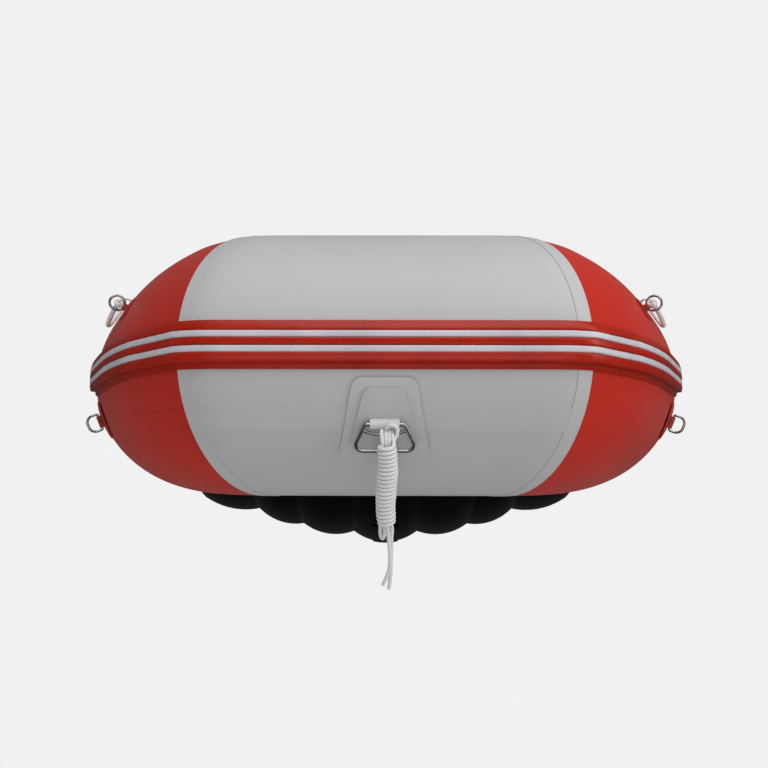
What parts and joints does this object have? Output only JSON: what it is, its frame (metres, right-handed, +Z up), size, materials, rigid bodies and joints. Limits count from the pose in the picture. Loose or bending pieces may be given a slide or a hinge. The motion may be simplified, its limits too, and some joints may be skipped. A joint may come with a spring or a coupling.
{
  "type": "inflatable dinghy",
  "caption": "Inflatable dinghy with a blunt raised bow, airtight V floor, plywood transom, ribbed rub strake, tow ring with coiled painter, rowlocks and two sliding thwarts.",
  "frame": {"origin": "on the ground under the keel, midway along the hull and on its centreline", "axes": "+Y towards the stern, +Z up, -X to starboard"},
  "size_m": [1.4816, 3.2288, 0.643],
  "materials": {
    "grey_fabric": "PVC-coated fabric, satin light grey",
    "red_fabric": "PVC-coated fabric, satin dark red",
    "red_rubber": "extruded red PVC, satin",
    "grey_rubber": "extruded grey PVC, satin",
    "black_fabric": "PVC-coated fabric, glossy black",
    "black_plastic": "moulded nylon, satin black",
    "plywood": "marine plywood, painted grey",
    "aluminium": "satin anodised",
    "stainless_steel": "polished stainless steel",
    "webbing": "polyester webbing",
    "rope": "braided polyester, off-white"
  },
  "bodies": {
    "hull": {"bow_lap_tape": "grey_fabric", "bow_seam_tapes": "grey_fabric", "bow_tube": "grey_fabric", "chamber_baffles": "red_fabric", "cone_caps": "black_plastic", "drain_body": "black_plastic", "floor_bottom_skin": "black_fabric", "floor_top_skin": "black_fabric", "floor_valve_body": "black_plastic", "floor_webs": "black_fabric", "grab_handles": "black_plastic", "inner_motor_pad": "aluminium", "keel_strip": "black_fabric", "lifeline_patches": "red_fabric", "lifeline_rings": "stainless_steel", "lifeline_straps": "webbing", "lower_stripe": "grey_rubber", "outer_motor_pad": "black_plastic", "port_bow_tube": "red_fabric", "port_lifeline": "rope", "port_side_tube": "grey_fabric", "port_stern_cone": "red_fabric", "rowlock_bases": "black_plastic", "rub_strake": "red_rubber", "seat_rails": "grey_rubber", "side_lap_tapes": "red_fabric", "side_ring_patches": "red_rubber", "side_ring_straps": "webbing", "side_seam_tapes": "red_fabric", "starboard_bow_tube": "red_fabric", "starboard_lifeline": "rope", "starboard_side_tube": "grey_fabric", "starboard_stern_cone": "red_fabric", "stern_eyes": "stainless_steel", "strake_ends": "red_rubber", "tow_patch": "grey_rubber", "tow_patch_base": "grey_fabric", "tow_strap": "webbing", "transom_board": "plywood", "transom_brackets": "black_plastic", "upper_stripe": "grey_rubber", "valve_bodies": "black_plastic"},
    "tow_ring": {"tow_ring": "stainless_steel", "painter_hank": "rope", "painter_tie": "rope", "painter_tails": "rope"},
    "starboard_side_ring": {"starboard_side_ring": "stainless_steel"},
    "port_side_ring": {"port_side_ring": "stainless_steel"},
    "starboard_rowlock": {"starboard_rowlock": "aluminium"},
    "port_rowlock": {"port_rowlock": "aluminium"},
    "fore_thwart": {"fore_thwart": "plywood", "fore_thwart_clips": "black_plastic"},
    "aft_thwart": {"aft_thwart": "plywood", "aft_thwart_clips": "black_plastic"},
    "bow_valve_cap": {"bow_valve_cap": "black_plastic"},
    "starboard_valve_cap": {"starboard_valve_cap": "black_plastic"},
    "port_valve_cap": {"port_valve_cap": "black_plastic"},
    "floor_valve_cap": {"floor_valve_cap": "black_plastic"},
    "drain_plug": {"drain_plug": "black_plastic"}
  },
  "joints": [
    {"name": "tow_ring_swing", "type": "hinge", "parent": "hull", "child": "tow_ring", "pos_m": [0, -1.5935, 0.40481], "axis": [-1, 0, 0], "range_deg": [0, 60]},
    {"name": "starboard_side_ring_swing", "type": "hinge", "parent": "hull", "child": "starboard_side_ring", "pos_m": [-0.52737, -1.24964, 0.29613], "axis": [0.3276, -0.1509, -0.9327], "range_deg": [-70, 70]},
    {"name": "port_side_ring_swing", "type": "hinge", "parent": "hull", "child": "port_side_ring", "pos_m": [0.52737, -1.24964, 0.29613], "axis": [-0.3276, -0.1509, -0.9327], "range_deg": [-70, 70]},
    {"name": "starboard_rowlock_turn", "type": "hinge", "parent": "hull", "child": "starboard_rowlock", "pos_m": [-0.51463, 0.23713, 0.435], "axis": [0, 0, 1], "continuous": true},
    {"name": "port_rowlock_turn", "type": "hinge", "parent": "hull", "child": "port_rowlock", "pos_m": [0.51463, 0.23713, 0.435], "axis": [0, 0, 1], "continuous": true},
    {"name": "fore_thwart_slide", "type": "slide", "parent": "hull", "child": "fore_thwart", "axis": [0, 1, 0], "range_m": [-0.13, 0.13]},
    {"name": "aft_thwart_slide", "type": "slide", "parent": "hull", "child": "aft_thwart", "axis": [0, 1, 0], "range_m": [-0.13, 0.13]},
    {"name": "bow_valve_cap_turn", "type": "hinge", "parent": "hull", "child": "bow_valve_cap", "pos_m": [-0.04, -1.15921, 0.47523], "axis": [0, 0.9799, 0.1994], "range_deg": [0, 90]},
    {"name": "starboard_valve_cap_turn", "type": "hinge", "parent": "hull", "child": "starboard_valve_cap", "pos_m": [-0.32384, 0.88713, 0.32691], "axis": [0.882, 0, 0.4712], "range_deg": [0, 90]},
    {"name": "port_valve_cap_turn", "type": "hinge", "parent": "hull", "child": "port_valve_cap", "pos_m": [0.32384, 0.88713, 0.32691], "axis": [-0.882, 0, 0.4712], "range_deg": [0, 90]},
    {"name": "floor_valve_cap_turn", "type": "hinge", "parent": "hull", "child": "floor_valve_cap", "pos_m": [0, 0.82, 0.11606], "axis": [0, 0, 1], "range_deg": [0, 90]},
    {"name": "drain_plug_slide", "type": "slide", "parent": "hull", "child": "drain_plug", "axis": [0, 1, 0], "range_m": [0, 0.028]}
  ]
}
